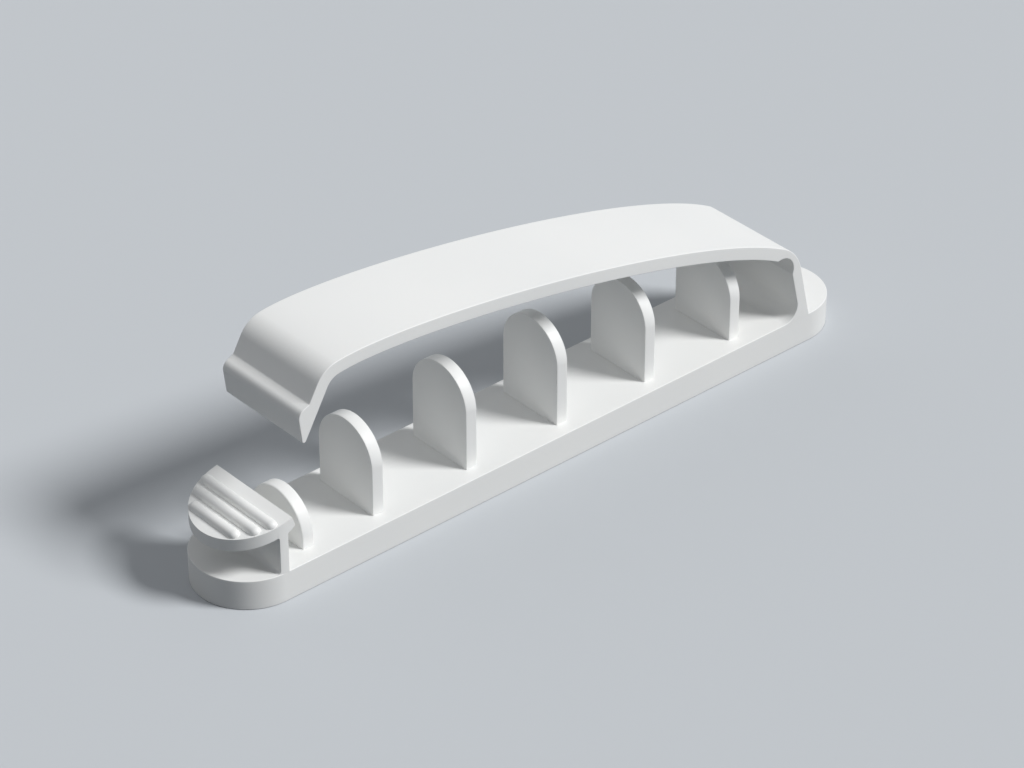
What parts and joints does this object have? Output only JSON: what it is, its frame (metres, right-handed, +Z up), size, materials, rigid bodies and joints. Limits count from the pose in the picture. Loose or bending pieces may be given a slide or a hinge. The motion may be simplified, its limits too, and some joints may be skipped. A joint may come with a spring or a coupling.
{
  "type": "desk cable holder",
  "caption": "Low desk-top cable holder: a round-ended bar with upright rounded dividers, a springy arched strap on a film hinge, and a ribbed thumb latch that catches the strap's hook.",
  "frame": {"origin": "middle of the flat underside of the base", "axes": "+X along the base, from the latch to the film hinge; +Y across the base, away from the viewer; +Z up"},
  "size_m": [0.0958, 0.0136, 0.0287],
  "materials": {
    "base": "satin",
    "strap": "satin",
    "latch_tab": "satin"
  },
  "bodies": {
    "base": {"base": "base"},
    "strap": {"strap": "strap"},
    "latch_tab": {"latch_tab": "latch_tab"}
  },
  "joints": [
    {"name": "film_hinge", "type": "hinge", "parent": "base", "child": "strap", "pos_m": [0.03762, 0, 0.01313], "axis": [0, 1, 0], "range_deg": [-9.25, 90], "stiffness_Nm_per_rad": 0.1},
    {"name": "latch_flex", "type": "hinge", "parent": "base", "child": "latch_tab", "pos_m": [-0.04104, 0, 0.0057], "axis": [0, -1, 0], "range_deg": [0, 10], "stiffness_Nm_per_rad": 0.05}
  ]
}
